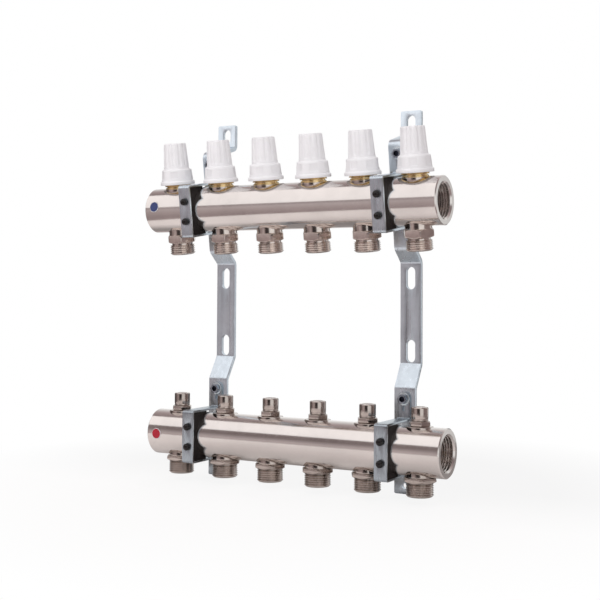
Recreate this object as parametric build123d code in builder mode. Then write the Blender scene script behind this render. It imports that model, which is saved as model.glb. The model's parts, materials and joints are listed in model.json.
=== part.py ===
from build123d import *
import os
from math import cos, radians, sin, sqrt, tan

# A distribution manifold for six heating circuits: two brass bars, one above the other, held by
# rubber-lined straps on a pair of bent wall brackets. Millimetres.
# X runs along the bars, Y points to the wall, and Z is up. The origin lies on the wall, midway
# between the two brackets and between the levels of the two bars.

# The bars and their circuits
outlet_count = 6
outlet_pitch = 50.0
bar_end_length = 26.0
bar_diameter = 43.0
bar_bore = 26.0
bar_edge = 0.8
end_thread_bore = 30.3
end_thread_mouth = 33.4
end_thread_depth = 17.0
bar_spacing = 215.6
bar_wall_distance = 48.0
lower_bar_back = 7.0
upper_tilt = 8.5

# The seats in the bars for valves and outlets
collar_diameter = 23.7
seat_clearance = 0.2
seat_thread = 18.0
port_diameter = 11.0
port_lip = 1.6
disc_seat_clearance = 0.5

# What all turned pieces share
turned_edge = 0.5
lead_in = 1.0
hex_face_share = 0.97
hex_bevel_angle = 30.0
cut_over = 1.0
touch_gap = 0.1

# The upper outlets
upper_outlet_bore = 13.0
upper_hex_gap = 2.2
upper_hex_flats = 25.0
upper_hex_height = 7.7
upper_thread_length = 9.5
groove_width = 2.0
groove_depth = 2.0
outlet_thread = 24.0
thread_chamfer = 1.4
cone_seat_mouth = 18.0
cone_seat_depth = 4.5

# The lower outlets
lower_outlet_bore = 15.0
lower_hex_gap = 0.2
lower_hex_flats = 27.0
lower_hex_height = 4.3
lower_thread_length = 12.4

# The valve inserts and their stems
insert_sink = 4.0
insert_ring_height = 4.7
insert_neck_diameter = 21.0
insert_neck_height = 0.9
cap_thread = 26.0
cap_thread_length = 13.0
gland_diameter = 11.0
gland_height = 2.5
stem_diameter = 5.0
stem_clearance = 0.05
stem_reach = 2.6
disc_diameter = 13.4
disc_thickness = 3.0
valve_travel = 2.4
valve_closed_gap = 0.3

# The hand caps
cap_flange_diameter = 33.0
cap_flange_thickness = 3.7
cap_flange_lift = 3.5
cap_height = 39.8
cap_skirt_wall = 1.2
cap_skirt_cover = 0.1
cap_shoulder = 1.0
cap_grip_bottom = 24.2
cap_grip_top = 21.2
cap_wall = 1.9
cap_bore_taper = 2.0
cap_thread_clearance = 0.08
cap_boss_diameter = 6.0
cap_flute_count = 12
cap_flute_radius = 2.2
cap_flute_depth = 0.6
cap_recess_count = 6
cap_recess_width = 7.0
cap_recess_height = 6.5
cap_recess_depth = 0.7
cap_turn_step = 23.0

# The lockshield valves
lock_base_height = 3.9
lock_hex_flats = 17.0
lock_hex_height = 4.6
lock_thread = 12.0
lock_thread_length = 7.5
lock_spindle_diameter = 8.0
lock_spindle_sink = 1.5
lock_key_flats = 4.0
lock_key_depth = 4.0
lock_cone_tip = 7.0
lock_cone_diameter = 10.0
lock_cone_height = 4.0
lock_cone_rim = 2.0
lock_cone_open = 3.0
lock_cap_height = 12.0
lock_cap_side = 1.4
lock_cap_wall = 1.2

# The straps and their liners
strap_width = 12.2
strap_thickness = 2.0
strap_rise = 1.25
strap_front_gap = 3.1
strap_bend = 1.0
strap_tab_height = 23.8
strap_screw_height = 17.2
strap_tab_slot_drop = 8.4
strap_tab_slot = (5.0, 2.4)
strap_hook_length = 4.2
nub_spacing = 18.6
nub_neck = 4.8
nub_head = 6.6
nub_length = 4.4
nub_dome = 2.6
liner_gap = 0.1
liner_reach = 20.6
liner_step = 2.4

# The clamp screws
screw_diameter = 5.0
screw_head_flats = 8.0
screw_head_height = 3.5
washer_diameter = 11.5
washer_thickness = 1.0
nut_height = 4.0
screw_hole_clearance = 0.2
screw_end = 1.2

# The wall brackets
bracket_width = 20.0
bracket_thickness = 4.0
bracket_bend = 3.0
bracket_gap = 2.5
bracket_corner = 1.5
ear_length = 22.0
ear_step_height = 8.2
upper_seat_drop = 44.0
upper_step_height = 11.83
lower_step_height = 21.0
lower_seat_rise = 51.8
bracket_tail = 42.5
wall_slot_width = 9.0
wall_slot_length = 20.5
upper_slot_drop = 14.0
lower_slot_rise = 11.0
ear_slot_length = 14.0
ear_slot_margin = 4.0
end_hole_diameter = 5.0
end_hole_margin = 7.1
hook_slot_clearance = 0.3

# The marker discs
marker_diameter = 10.0
marker_thickness = 1.8
marker_proud = 0.35
marker_inset = 11.0
marker_clearance = 0.1
blue_marker_turn = 14.5
red_marker_turn = 0.0

# What follows from them
bar_length = outlet_pitch * (outlet_count - 1) + 2 * bar_end_length
strap_place = outlet_pitch * (outlet_count / 2 - 1)
bar_radius = bar_diameter / 2
pocket_radius = collar_diameter / 2 + seat_clearance
seat_level = sqrt(bar_radius**2 - pocket_radius**2)
port_level = bar_bore / 2 + port_lip
disc_seat_radius = disc_diameter / 2 + disc_seat_clearance
outlet_places = [(n - (outlet_count - 1) / 2) * outlet_pitch for n in range(outlet_count)]
cap_bottom = bar_radius + cap_flange_lift
strap_inside = bar_radius + strap_rise
strap_outside = strap_inside + strap_thickness
strap_front = bar_radius + strap_front_gap
bracket_face = bar_radius + bracket_gap
far_bend = bracket_bend + bracket_thickness
screw_level = strap_outside + strap_screw_height
strap_sides = (("left", -strap_place), ("right", strap_place))
along = Vector(1, 0, 0)

# Each bar's own frame: along the bar, back to the wall, and up along its outlets and valves
upper = Plane(
    origin=(0, -bar_wall_distance, bar_spacing / 2),
    x_dir=along,
    z_dir=(0, -sin(radians(upper_tilt)), cos(radians(upper_tilt))),
)
lower = Plane(
    origin=(0, lower_bar_back - bar_wall_distance, -bar_spacing / 2),
    x_dir=along,
    z_dir=(0, 0, 1),
)
bars = (("upper", upper), ("lower", lower))
markers = {"upper": ("blue_marker", blue_marker_turn), "lower": ("red_marker", red_marker_turn)}


def turned(bar, place, profile, forward=False, mode=Mode.ADD):
    """Turn a half profile of (radius, distance) points about a line from a place on a bar.

    The line runs up through the place, or forward out of it.
    """
    origin = bar.from_local_coords(place)
    direction = bar.y_dir * -1 if forward else bar.z_dir
    with BuildSketch(Plane(origin=origin, x_dir=along, z_dir=along.cross(direction))) as half:
        with BuildLine():
            Polyline(*profile, close=True)
        make_face()
    revolve(half.sketch, axis=Axis(origin, direction), mode=mode)


def hexagon(bar, place, across_flats, height, forward=False):
    """A hexagon with turned corners, standing on a place of a bar"""
    direction = bar.y_dir * -1 if forward else bar.z_dir
    base = Plane(origin=bar.from_local_coords(place), x_dir=along, z_dir=direction)
    corner = across_flats / sqrt(3) + touch_gap
    face = across_flats / 2 * hex_face_share
    bevel = (corner - face) * tan(radians(hex_bevel_angle))
    rim = [(0, 0), (face, 0), (corner, bevel), (corner, height - bevel), (face, height), (0, height)]
    with BuildPart() as prism:
        with BuildSketch(base):
            RegularPolygon(across_flats / 2, 6, major_radius=False)
        extrude(amount=height)
        turned(bar, place, rim, forward, Mode.INTERSECT)
    return prism.part


def side_view(bar, place):
    """The plane across a bar, seen from its right end: back is X, up is Y"""
    origin = bar.from_local_coords((place, 0, 0))
    return Plane(origin=origin, x_dir=bar.y_dir, z_dir=along)


def front_view(bar, place):
    """A plane at a place of a bar that looks forward: along is X, up is Y"""
    return Plane(origin=bar.from_local_coords(place), x_dir=along, z_dir=bar.y_dir * -1)


os.makedirs("parts", exist_ok=True)

# The two bars: turned round bar, bored through, with a female pipe thread in both ends, a seat
# above and below for each circuit and a flat round each port for the valve's disc
for bar_name, bar in bars:
    with BuildPart() as manifold_bar:
        with BuildSketch(front_view(bar, (0, 0, 0))):
            with BuildLine():
                Polyline(
                    (0, bar_bore / 2),
                    (bar_length / 2 - end_thread_depth - end_thread_bore / 2 + bar_bore / 2, bar_bore / 2),
                    (bar_length / 2 - end_thread_depth, end_thread_bore / 2),
                    (bar_length / 2 - end_thread_mouth / 2 + end_thread_bore / 2, end_thread_bore / 2),
                    (bar_length / 2, end_thread_mouth / 2),
                    (bar_length / 2, bar_radius - bar_edge),
                    (bar_length / 2 - bar_edge, bar_radius),
                    (0, bar_radius),
                    close=True,
                )
            make_face()
            mirror(about=Plane.YZ)
        revolve(axis=Axis(bar.origin, along))
        valve_and_outlet_seats = [
            (0, bar_radius + cut_over),
            (pocket_radius, bar_radius + cut_over),
            (pocket_radius, seat_level),
            (seat_thread / 2, seat_level),
            (seat_thread / 2, 0),
            (disc_seat_radius, 0),
            (disc_seat_radius, -bar_bore / 2),
            (port_diameter / 2, -bar_bore / 2),
            (port_diameter / 2, -port_level),
            (seat_thread / 2, -port_level),
            (seat_thread / 2, -seat_level),
            (pocket_radius, -seat_level),
            (pocket_radius, -bar_radius - cut_over),
            (0, -bar_radius - cut_over),
        ]
        for place in outlet_places:
            turned(bar, (place, 0, 0), valve_and_outlet_seats, mode=Mode.SUBTRACT)
        marker_name, marker_turn = markers[bar_name]
        marker_side = bar.z_dir * sin(radians(marker_turn)) - bar.y_dir * cos(radians(marker_turn))
        marker_floor = bar_radius + marker_proud - marker_thickness
        marker_middle = bar.from_local_coords((marker_inset - bar_length / 2, 0, 0))
        marker_seat = Plane(origin=marker_middle + marker_side * marker_floor, x_dir=along, z_dir=marker_side)
        with BuildSketch(marker_seat):
            Circle(marker_diameter / 2 + marker_clearance)
        extrude(amount=bar_radius - marker_floor, mode=Mode.SUBTRACT)
    manifold_bar.part.label = f"{bar_name}_bar"
    export_step(manifold_bar.part, f"parts/{bar_name}_bar.step")

    with BuildPart() as marker:
        with BuildSketch(marker_seat):
            Circle(marker_diameter / 2)
        extrude(amount=marker_thickness)
        fillet(marker.faces().sort_by(Axis(bar.origin, marker_side))[-1].edges(), radius=marker_proud)
    marker.part.label = marker_name
    export_step(marker.part, f"parts/{marker_name}.step")

# The upper outlets: a spigot into the bar, a collar on its seat, a cone, a hexagon, a groove and
# a short male thread
hex_start = bar_radius + upper_hex_gap
hex_end = hex_start + upper_hex_height
thread_start = hex_end + groove_width
thread_end = thread_start + upper_thread_length
cone_start = hex_start - (upper_hex_flats - collar_diameter)
for number, place in enumerate(outlet_places, 1):
    with BuildPart() as upper_outlet:
        add(hexagon(upper, (place, 0, -hex_end), upper_hex_flats, upper_hex_height))
        nipple = [
            (0, -port_level - touch_gap),
            (seat_thread / 2, -port_level - touch_gap),
            (seat_thread / 2, -seat_level),
            (collar_diameter / 2, -seat_level),
            (collar_diameter / 2, -cone_start),
            (upper_hex_flats / 2 * hex_face_share, -hex_start),
            (upper_hex_flats / 2 * hex_face_share, -hex_end),
            (outlet_thread / 2 - groove_depth, -hex_end),
            (outlet_thread / 2 - groove_depth, -thread_start),
            (outlet_thread / 2, -thread_start),
            (outlet_thread / 2, -thread_end + thread_chamfer),
            (outlet_thread / 2 - thread_chamfer, -thread_end),
            (0, -thread_end),
        ]
        turned(upper, (place, 0, 0), nipple)
        waterway = [
            (0, 0),
            (upper_outlet_bore / 2, 0),
            (upper_outlet_bore / 2, -thread_end + cone_seat_depth),
            (cone_seat_mouth / 2, -thread_end),
            (0, -thread_end),
        ]
        turned(upper, (place, 0, 0), waterway, mode=Mode.SUBTRACT)
    upper_outlet.part.label = f"upper_outlet_{number}"
    export_step(upper_outlet.part, f"parts/upper_outlet_{number}.step")

# The lower outlets: the hexagon close under the bar and a longer male thread
lower_hex_start = bar_radius + lower_hex_gap
lower_hex_end = lower_hex_start + lower_hex_height
lower_thread_end = lower_hex_end + lower_thread_length
for number, place in enumerate(outlet_places, 1):
    with BuildPart() as lower_outlet:
        add(hexagon(lower, (place, 0, -lower_hex_end), lower_hex_flats, lower_hex_height))
        nipple = [
            (0, -port_level - touch_gap),
            (seat_thread / 2, -port_level - touch_gap),
            (seat_thread / 2, -seat_level),
            (collar_diameter / 2, -seat_level),
            (collar_diameter / 2, -lower_hex_start),
            (outlet_thread / 2, -lower_hex_start),
            (outlet_thread / 2, -lower_thread_end + thread_chamfer),
            (outlet_thread / 2 - thread_chamfer, -lower_thread_end),
            (0, -lower_thread_end),
        ]
        turned(lower, (place, 0, 0), nipple)
        waterway = [
            (0, 0),
            (lower_outlet_bore / 2, 0),
            (lower_outlet_bore / 2, -lower_thread_end + cone_seat_depth),
            (cone_seat_mouth / 2, -lower_thread_end),
            (0, -lower_thread_end),
        ]
        turned(lower, (place, 0, 0), waterway, mode=Mode.SUBTRACT)
    lower_outlet.part.label = f"lower_outlet_{number}"
    export_step(lower_outlet.part, f"parts/lower_outlet_{number}.step")

# The valve inserts: brass, with a ring on the bar, a male thread for the hand cap and a gland
ring_top = seat_level + insert_ring_height
thread_bottom = ring_top + insert_neck_height
thread_top = thread_bottom + cap_thread_length
insert_bottom = bar_bore / 2 - insert_sink
stem_bore = stem_diameter / 2 + stem_clearance
for number, place in enumerate(outlet_places, 1):
    with BuildPart() as valve_insert:
        insert = [
            (stem_bore, insert_bottom),
            (seat_thread / 2 - lead_in, insert_bottom),
            (seat_thread / 2, insert_bottom + lead_in),
            (seat_thread / 2, seat_level),
            (collar_diameter / 2, seat_level),
            (collar_diameter / 2, ring_top - turned_edge),
            (collar_diameter / 2 - turned_edge, ring_top),
            (insert_neck_diameter / 2, ring_top),
            (insert_neck_diameter / 2, thread_bottom),
            (cap_thread / 2 - cap_thread_clearance, thread_bottom),
            (cap_thread / 2 - cap_thread_clearance, thread_top - lead_in),
            (cap_thread / 2 - cap_thread_clearance - lead_in, thread_top),
            (gland_diameter / 2, thread_top),
            (gland_diameter / 2, thread_top + gland_height),
            (stem_bore, thread_top + gland_height),
        ]
        turned(upper, (place, 0, 0), insert)
    valve_insert.part.label = f"valve_insert_{number}"
    export_step(valve_insert.part, f"parts/valve_insert_{number}.step")

# The valve stems: a pin through the insert, with the disc that closes the port of the outlet
stem_top = thread_top + gland_height + stem_reach
disc_bottom = valve_travel + valve_closed_gap - bar_bore / 2
for number, place in enumerate(outlet_places, 1):
    with BuildPart() as valve_stem:
        pin = [
            (0, disc_bottom),
            (disc_diameter / 2 - turned_edge, disc_bottom),
            (disc_diameter / 2, disc_bottom + turned_edge),
            (disc_diameter / 2, disc_bottom + disc_thickness),
            (stem_diameter / 2, disc_bottom + disc_thickness),
            (stem_diameter / 2, stem_top - turned_edge),
            (stem_diameter / 2 - turned_edge, stem_top),
            (0, stem_top),
        ]
        turned(upper, (place, 0, 0), pin)
    valve_stem.part.label = f"valve_stem_{number}"
    export_step(valve_stem.part, f"parts/valve_stem_{number}.step")

# One hand cap, standing on the origin, hollow from below, with a boss that presses the stem
boss_bottom = stem_top + touch_gap - cap_bottom
thread_room = thread_top - cap_bottom + valve_travel + lead_in
skirt_radius = cap_thread / 2 + cap_skirt_wall
skirt_base = cap_flange_thickness
skirt_top = thread_room + cap_skirt_cover
with BuildPart() as cap_form:
    outline = [
        (0, 0),
        (cap_flange_diameter / 2, 0),
        (cap_flange_diameter / 2, skirt_base - cap_shoulder),
        (cap_flange_diameter / 2 - cap_shoulder, skirt_base),
        (skirt_radius + cap_shoulder, skirt_base),
        (skirt_radius, skirt_top - cap_shoulder),
        (skirt_radius - cap_shoulder, skirt_top),
        (cap_grip_bottom / 2, skirt_top + cap_shoulder),
        (cap_grip_top / 2, cap_height - cap_shoulder),
        (cap_grip_top / 2 - cap_shoulder, cap_height),
        (0, cap_height),
    ]
    origin_frame = Plane.XY
    turned(origin_frame, (0, 0, 0), outline)
    flute_foot = skirt_top + cap_shoulder + cap_flute_radius
    flute_lean = (cap_grip_bottom - cap_grip_top) / 2 / (cap_height - skirt_top)
    flute_out = cap_grip_bottom / 2 + cap_flute_radius - cap_flute_depth
    for turn in range(cap_flute_count):
        angle = 360 / cap_flute_count * turn
        outward = Vector(1, 0, 0).rotate(Axis.Z, angle)
        foot = outward * flute_out + Vector(0, 0, flute_foot)
        with BuildSketch(Plane(origin=foot, x_dir=outward, z_dir=outward * -flute_lean + Vector(0, 0, 1))):
            Circle(cap_flute_radius)
        extrude(amount=cap_height, mode=Mode.SUBTRACT)
    for turn in range(cap_recess_count):
        angle = 360 / cap_recess_count * (turn + 0.5)
        outward = Vector(1, 0, 0).rotate(Axis.Z, angle)
        recess_floor = outward * (skirt_radius + cap_shoulder / 2 - cap_recess_depth)
        middle = Vector(0, 0, (skirt_base + skirt_top) / 2)
        with BuildSketch(Plane(origin=recess_floor + middle, x_dir=Vector(0, 0, 1), z_dir=outward)):
            Rectangle(cap_recess_height, cap_recess_width)
        extrude(amount=cap_shoulder * 2, mode=Mode.SUBTRACT)
    hollow = [
        (cap_boss_diameter / 2, boss_bottom),
        (0, boss_bottom),
        (0, 0),
        (cap_thread / 2, 0),
        (cap_thread / 2, thread_room),
        (cap_grip_top / 2 - cap_wall, thread_room + cap_bore_taper),
        (cap_grip_top / 2 - cap_wall, cap_height - cap_wall),
        (cap_boss_diameter / 2, cap_height - cap_wall),
    ]
    turned(origin_frame, (0, 0, 0), hollow, mode=Mode.SUBTRACT)

# The hand caps, each left at another turn of its thread
for number, place in enumerate(outlet_places, 1):
    cap_seat = upper.from_local_coords((place, 0, cap_bottom))
    with BuildPart(Plane(origin=cap_seat, x_dir=along, z_dir=upper.z_dir)) as hand_cap:
        add(cap_form.part, rotation=(0, 0, cap_turn_step * number))
    hand_cap.part.label = f"hand_cap_{number}"
    export_step(hand_cap.part, f"parts/hand_cap_{number}.step")

# The lockshield valves: a body with base and hexagon, and the screwed cap over its neck
base_top = seat_level + lock_base_height
lock_hex_top = base_top + lock_hex_height
lock_neck_top = lock_hex_top + lock_thread_length
for number, place in enumerate(outlet_places, 1):
    with BuildPart() as lockshield_body:
        add(hexagon(lower, (place, 0, base_top), lock_hex_flats, lock_hex_height))
        body = [
            (0, insert_bottom),
            (seat_thread / 2 - lead_in, insert_bottom),
            (seat_thread / 2, insert_bottom + lead_in),
            (seat_thread / 2, seat_level),
            (collar_diameter / 2, seat_level),
            (collar_diameter / 2, base_top - turned_edge),
            (collar_diameter / 2 - turned_edge, base_top),
            (lock_thread / 2, base_top),
            (lock_thread / 2, lock_neck_top - turned_edge),
            (lock_thread / 2 - turned_edge, lock_neck_top),
            (0, lock_neck_top),
        ]
        turned(lower, (place, 0, 0), body)
        spindle_bore = [
            (0, insert_bottom),
            (lock_spindle_diameter / 2, insert_bottom),
            (lock_spindle_diameter / 2, lock_neck_top),
            (0, lock_neck_top),
        ]
        turned(lower, (place, 0, 0), spindle_bore, mode=Mode.SUBTRACT)
    lockshield_body.part.label = f"lockshield_body_{number}"
    export_step(lockshield_body.part, f"parts/lockshield_body_{number}.step")

    lock_cap_top = lock_hex_top + lock_cap_height
    lock_cap_radius = lock_thread / 2 + lock_cap_side
    with BuildPart() as lockshield_cap:
        cap = [
            (lock_thread / 2, lock_hex_top),
            (lock_cap_radius - turned_edge, lock_hex_top),
            (lock_cap_radius, lock_hex_top + turned_edge),
            (lock_cap_radius, lock_cap_top - turned_edge),
            (lock_cap_radius - turned_edge, lock_cap_top),
            (0, lock_cap_top),
            (0, lock_cap_top - lock_cap_wall),
            (lock_thread / 2, lock_cap_top - lock_cap_wall),
        ]
        turned(lower, (place, 0, 0), cap)
    lockshield_cap.part.label = f"lockshield_cap_{number}"
    export_step(lockshield_cap.part, f"parts/lockshield_cap_{number}.step")

# The regulating spindles: screws with a cone that throttles the port, set by a hexagon key
spindle_top = lock_neck_top - lock_spindle_sink
cone_tip = lock_cone_open - bar_bore / 2
cone_rim = cone_tip + lock_cone_height
cone_back = cone_rim + lock_cone_rim
spindle_radius = lock_spindle_diameter / 2 - touch_gap
with BuildPart() as regulating_spindles:
    for place in outlet_places:
        spindle = [
            (0, cone_tip),
            (lock_cone_tip / 2, cone_tip),
            (lock_cone_diameter / 2, cone_rim),
            (lock_cone_diameter / 2, cone_back),
            (spindle_radius, cone_back),
            (spindle_radius, spindle_top),
            (0, spindle_top),
        ]
        turned(lower, (place, 0, 0), spindle)
        key_face = lower.from_local_coords((place, 0, spindle_top))
        with BuildSketch(Plane(origin=key_face, x_dir=along, z_dir=lower.z_dir)):
            RegularPolygon(lock_key_flats / 2, 6, major_radius=False)
        extrude(amount=-lock_key_depth, mode=Mode.SUBTRACT)
regulating_spindles.part.label = "regulating_spindles"
export_step(regulating_spindles.part, "parts/regulating_spindles.step")

# The straps: a tab on the bracket, a leg over the bar, the front, a leg below and a hook
tab_top = strap_outside + strap_tab_height
hook_face = bracket_face + bracket_thickness + strap_bend + liner_gap
outer_bend = strap_bend + strap_thickness
for bar_name, bar in bars:
    for side_name, place in strap_sides:
        with BuildPart() as strap:
            with BuildSketch(side_view(bar, place)):
                with BuildLine():
                    FilletPolyline(
                        (bracket_face - strap_thickness, tab_top),
                        (bracket_face - strap_thickness, strap_outside),
                        (-strap_front - strap_thickness, strap_outside),
                        (-strap_front - strap_thickness, -strap_outside),
                        (hook_face, -strap_outside),
                        (hook_face, -strap_outside - strap_hook_length),
                        radius=(strap_bend, outer_bend, outer_bend, strap_bend),
                    )
                    offset(amount=strap_thickness, side=Side.LEFT)
                make_face()
            extrude(amount=strap_width / 2, both=True)
            tab_corners = strap.edges().filter_by(Axis(bar.origin, bar.y_dir))
            tab_corners = tab_corners.sort_by(Axis(bar.origin, bar.z_dir))[-2:]
            fillet(tab_corners, radius=strap_width / 2 - touch_gap)
            with BuildSketch(front_view(bar, (place, bracket_face, screw_level))):
                Circle(screw_diameter / 2 + screw_hole_clearance)
                with Locations((0, -strap_tab_slot_drop)):
                    SlotOverall(*strap_tab_slot, rotation=90)
            extrude(amount=strap_thickness, mode=Mode.SUBTRACT)
            with BuildSketch(front_view(bar, (place, -strap_front, 0))):
                with GridLocations(0, nub_spacing, 1, 2):
                    Circle(nub_neck / 2 + liner_gap)
            extrude(amount=strap_thickness, mode=Mode.SUBTRACT)
        strap.part.label = f"strap_{bar_name}_{side_name}"
        export_step(strap.part, f"parts/strap_{bar_name}_{side_name}.step")

# The liners: a rubber block between strap and bar, with two nubs that snap through the strap
for bar_name, bar in bars:
    for side_name, place in strap_sides:
        with BuildPart() as liner:
            liner_front = -strap_front + liner_gap
            liner_end = liner_front + liner_reach
            liner_top = strap_inside - liner_gap
            with BuildSketch(side_view(bar, place)):
                with BuildLine():
                    Polyline(
                        (liner_front, 0),
                        (liner_front, liner_top),
                        (liner_end, liner_top),
                        (liner_end, liner_top - liner_step),
                        (liner_end - liner_step, liner_top - liner_step),
                        (liner_end - liner_step, liner_top - 3 * liner_step),
                        (liner_end - 2 * liner_step, liner_top - 3 * liner_step),
                        (liner_end - 2 * liner_step, 0),
                        close=True,
                    )
                make_face()
                mirror(about=Plane.XZ)
                Circle(bar_radius + liner_gap, mode=Mode.SUBTRACT)
            extrude(amount=strap_width / 2, both=True)
            front_edges = liner.edges().filter_by(Axis.X).sort_by(Axis(bar.origin, bar.y_dir))[:2]
            fillet(front_edges, radius=strap_bend + liner_gap)
            nub_face = strap_thickness + 2 * liner_gap
            nub_tip = strap_thickness + liner_gap + nub_length
            nub = [
                (0, -lead_in),
                (nub_neck / 2, -lead_in),
                (nub_neck / 2, nub_face),
                (nub_head / 2, nub_face),
                (nub_head / 2, nub_tip),
                (0, nub_tip),
            ]
            for height in (-nub_spacing / 2, nub_spacing / 2):
                turned(bar, (place, liner_front, height), nub, forward=True)
            nub_rims = liner.edges().filter_by(GeomType.CIRCLE)
            fillet(nub_rims.sort_by(Axis(bar.origin, bar.y_dir))[:2], radius=nub_dome)
        liner.part.label = f"liner_{bar_name}_{side_name}"
        export_step(liner.part, f"parts/liner_{bar_name}_{side_name}.step")

# The screws that hold the straps' tabs on the brackets, with washers in front and nuts behind
screw_places = [(bar, place) for bar_name, bar in bars for side_name, place in strap_sides]
tab_face = strap_thickness - bracket_face
under_head = tab_face + washer_thickness
nut_start = -(bracket_face + bracket_thickness + nut_height)
shank_start = nut_start - screw_end
with BuildPart() as clamp_screws:
    for bar, place in screw_places:
        head_seat = (place, -under_head, screw_level)
        add(hexagon(bar, head_seat, screw_head_flats, screw_head_height, forward=True))
        shank = [
            (0, shank_start),
            (screw_diameter / 2 - turned_edge, shank_start),
            (screw_diameter / 2, shank_start + turned_edge),
            (screw_diameter / 2, under_head),
            (0, under_head),
        ]
        turned(bar, (place, 0, screw_level), shank, forward=True)
clamp_screws.part.label = "clamp_screws"
export_step(clamp_screws.part, "parts/clamp_screws.step")

with BuildPart() as clamp_washers:
    for bar, place in screw_places:
        washer = [
            (screw_diameter / 2 + screw_hole_clearance, tab_face),
            (washer_diameter / 2, tab_face),
            (washer_diameter / 2, tab_face + washer_thickness),
            (screw_diameter / 2 + screw_hole_clearance, tab_face + washer_thickness),
        ]
        turned(bar, (place, 0, screw_level), washer, forward=True)
clamp_washers.part.label = "clamp_washers"
export_step(clamp_washers.part, "parts/clamp_washers.step")

with BuildPart() as clamp_nuts:
    for bar, place in screw_places:
        add(hexagon(bar, (place, -nut_start, screw_level), screw_head_flats, nut_height, forward=True))
        nut_bore = [
            (0, nut_start),
            (screw_diameter / 2, nut_start),
            (screw_diameter / 2, nut_start + nut_height),
            (0, nut_start + nut_height),
        ]
        turned(bar, (place, 0, screw_level), nut_bore, forward=True, mode=Mode.SUBTRACT)
clamp_nuts.part.label = "clamp_nuts"
export_step(clamp_nuts.part, "parts/clamp_nuts.step")

# The wall brackets: flat bar, bent so that its wall part and ear lie on the wall and its two
# seats stand in front, the upper one leaning forward
upper_seat_rise = screw_level + screw_head_flats / sqrt(3) + far_bend
upper_top = upper.from_local_coords((0, bracket_face, upper_seat_rise))
upper_bottom = upper.from_local_coords((0, bracket_face, -upper_seat_drop))
ear_bottom = upper_top.Z + ear_step_height
ear_top = ear_bottom + ear_length
wall_part_top = upper_bottom.Z - upper_step_height
wall_part_face = -bracket_thickness
lower_face = lower.origin.Y + bracket_face
lower_seat_top = lower.origin.Z + lower_seat_rise
wall_part_bottom = lower_seat_top + lower_step_height
bracket_bottom = lower.origin.Z - bracket_tail
for side_name, place in strap_sides:
    with BuildPart() as bracket:
        with BuildSketch(Plane(origin=(place, 0, 0), x_dir=(0, 1, 0), z_dir=along)):
            with BuildLine():
                FilletPolyline(
                    (wall_part_face, ear_top),
                    (wall_part_face, ear_bottom),
                    (upper_top.Y, upper_top.Z),
                    (upper_bottom.Y, upper_bottom.Z),
                    (wall_part_face, wall_part_top),
                    (wall_part_face, wall_part_bottom),
                    (lower_face, lower_seat_top),
                    (lower_face, bracket_bottom),
                    radius=(bracket_bend, far_bend, far_bend, bracket_bend, bracket_bend, far_bend),
                )
                offset(amount=bracket_thickness, side=Side.LEFT)
            make_face()
        extrude(amount=bracket_width / 2, both=True)
        end_corners = bracket.edges().filter_by(Axis.Y).sort_by(Axis.Z)
        fillet(end_corners[:2] + end_corners[-2:], radius=bracket_corner)
        wall_plane = Plane(origin=(place, wall_part_face, 0), x_dir=along, z_dir=(0, -1, 0))
        with BuildSketch(wall_plane):
            with Locations((0, wall_part_top - upper_slot_drop), (0, wall_part_bottom + lower_slot_rise)):
                SlotOverall(wall_slot_length, wall_slot_width, rotation=90)
            with Locations((0, ear_top - ear_slot_margin - ear_slot_length / 2)):
                SlotOverall(ear_slot_length, wall_slot_width, rotation=90)
        extrude(amount=-bracket_thickness, mode=Mode.SUBTRACT)
        with BuildSketch(Plane(origin=(place, lower_face, 0), x_dir=along, z_dir=(0, -1, 0))):
            with Locations((0, bracket_bottom + end_hole_margin)):
                Circle(end_hole_diameter / 2)
        extrude(amount=-bracket_thickness, mode=Mode.SUBTRACT)
        for bar_name, bar in bars:
            with BuildSketch(front_view(bar, (place, bracket_face, 0))):
                with Locations((0, screw_level)):
                    Circle(screw_diameter / 2 + screw_hole_clearance)
                with Locations((0, strap_thickness / 2 - strap_outside)):
                    Rectangle(
                        strap_width + 2 * hook_slot_clearance,
                        strap_thickness + 2 * hook_slot_clearance,
                    )
            extrude(amount=-bracket_thickness, mode=Mode.SUBTRACT)
    bracket.part.label = f"bracket_{side_name}"
    export_step(bracket.part, f"parts/bracket_{side_name}.step")
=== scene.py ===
import json
from math import atan2, cos, pi, radians, sin, sqrt, tan, tau

import bmesh
import bpy
from bpy.props import FloatProperty, FloatVectorProperty, IntProperty, PointerProperty
from mathutils import Matrix, Vector


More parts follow.
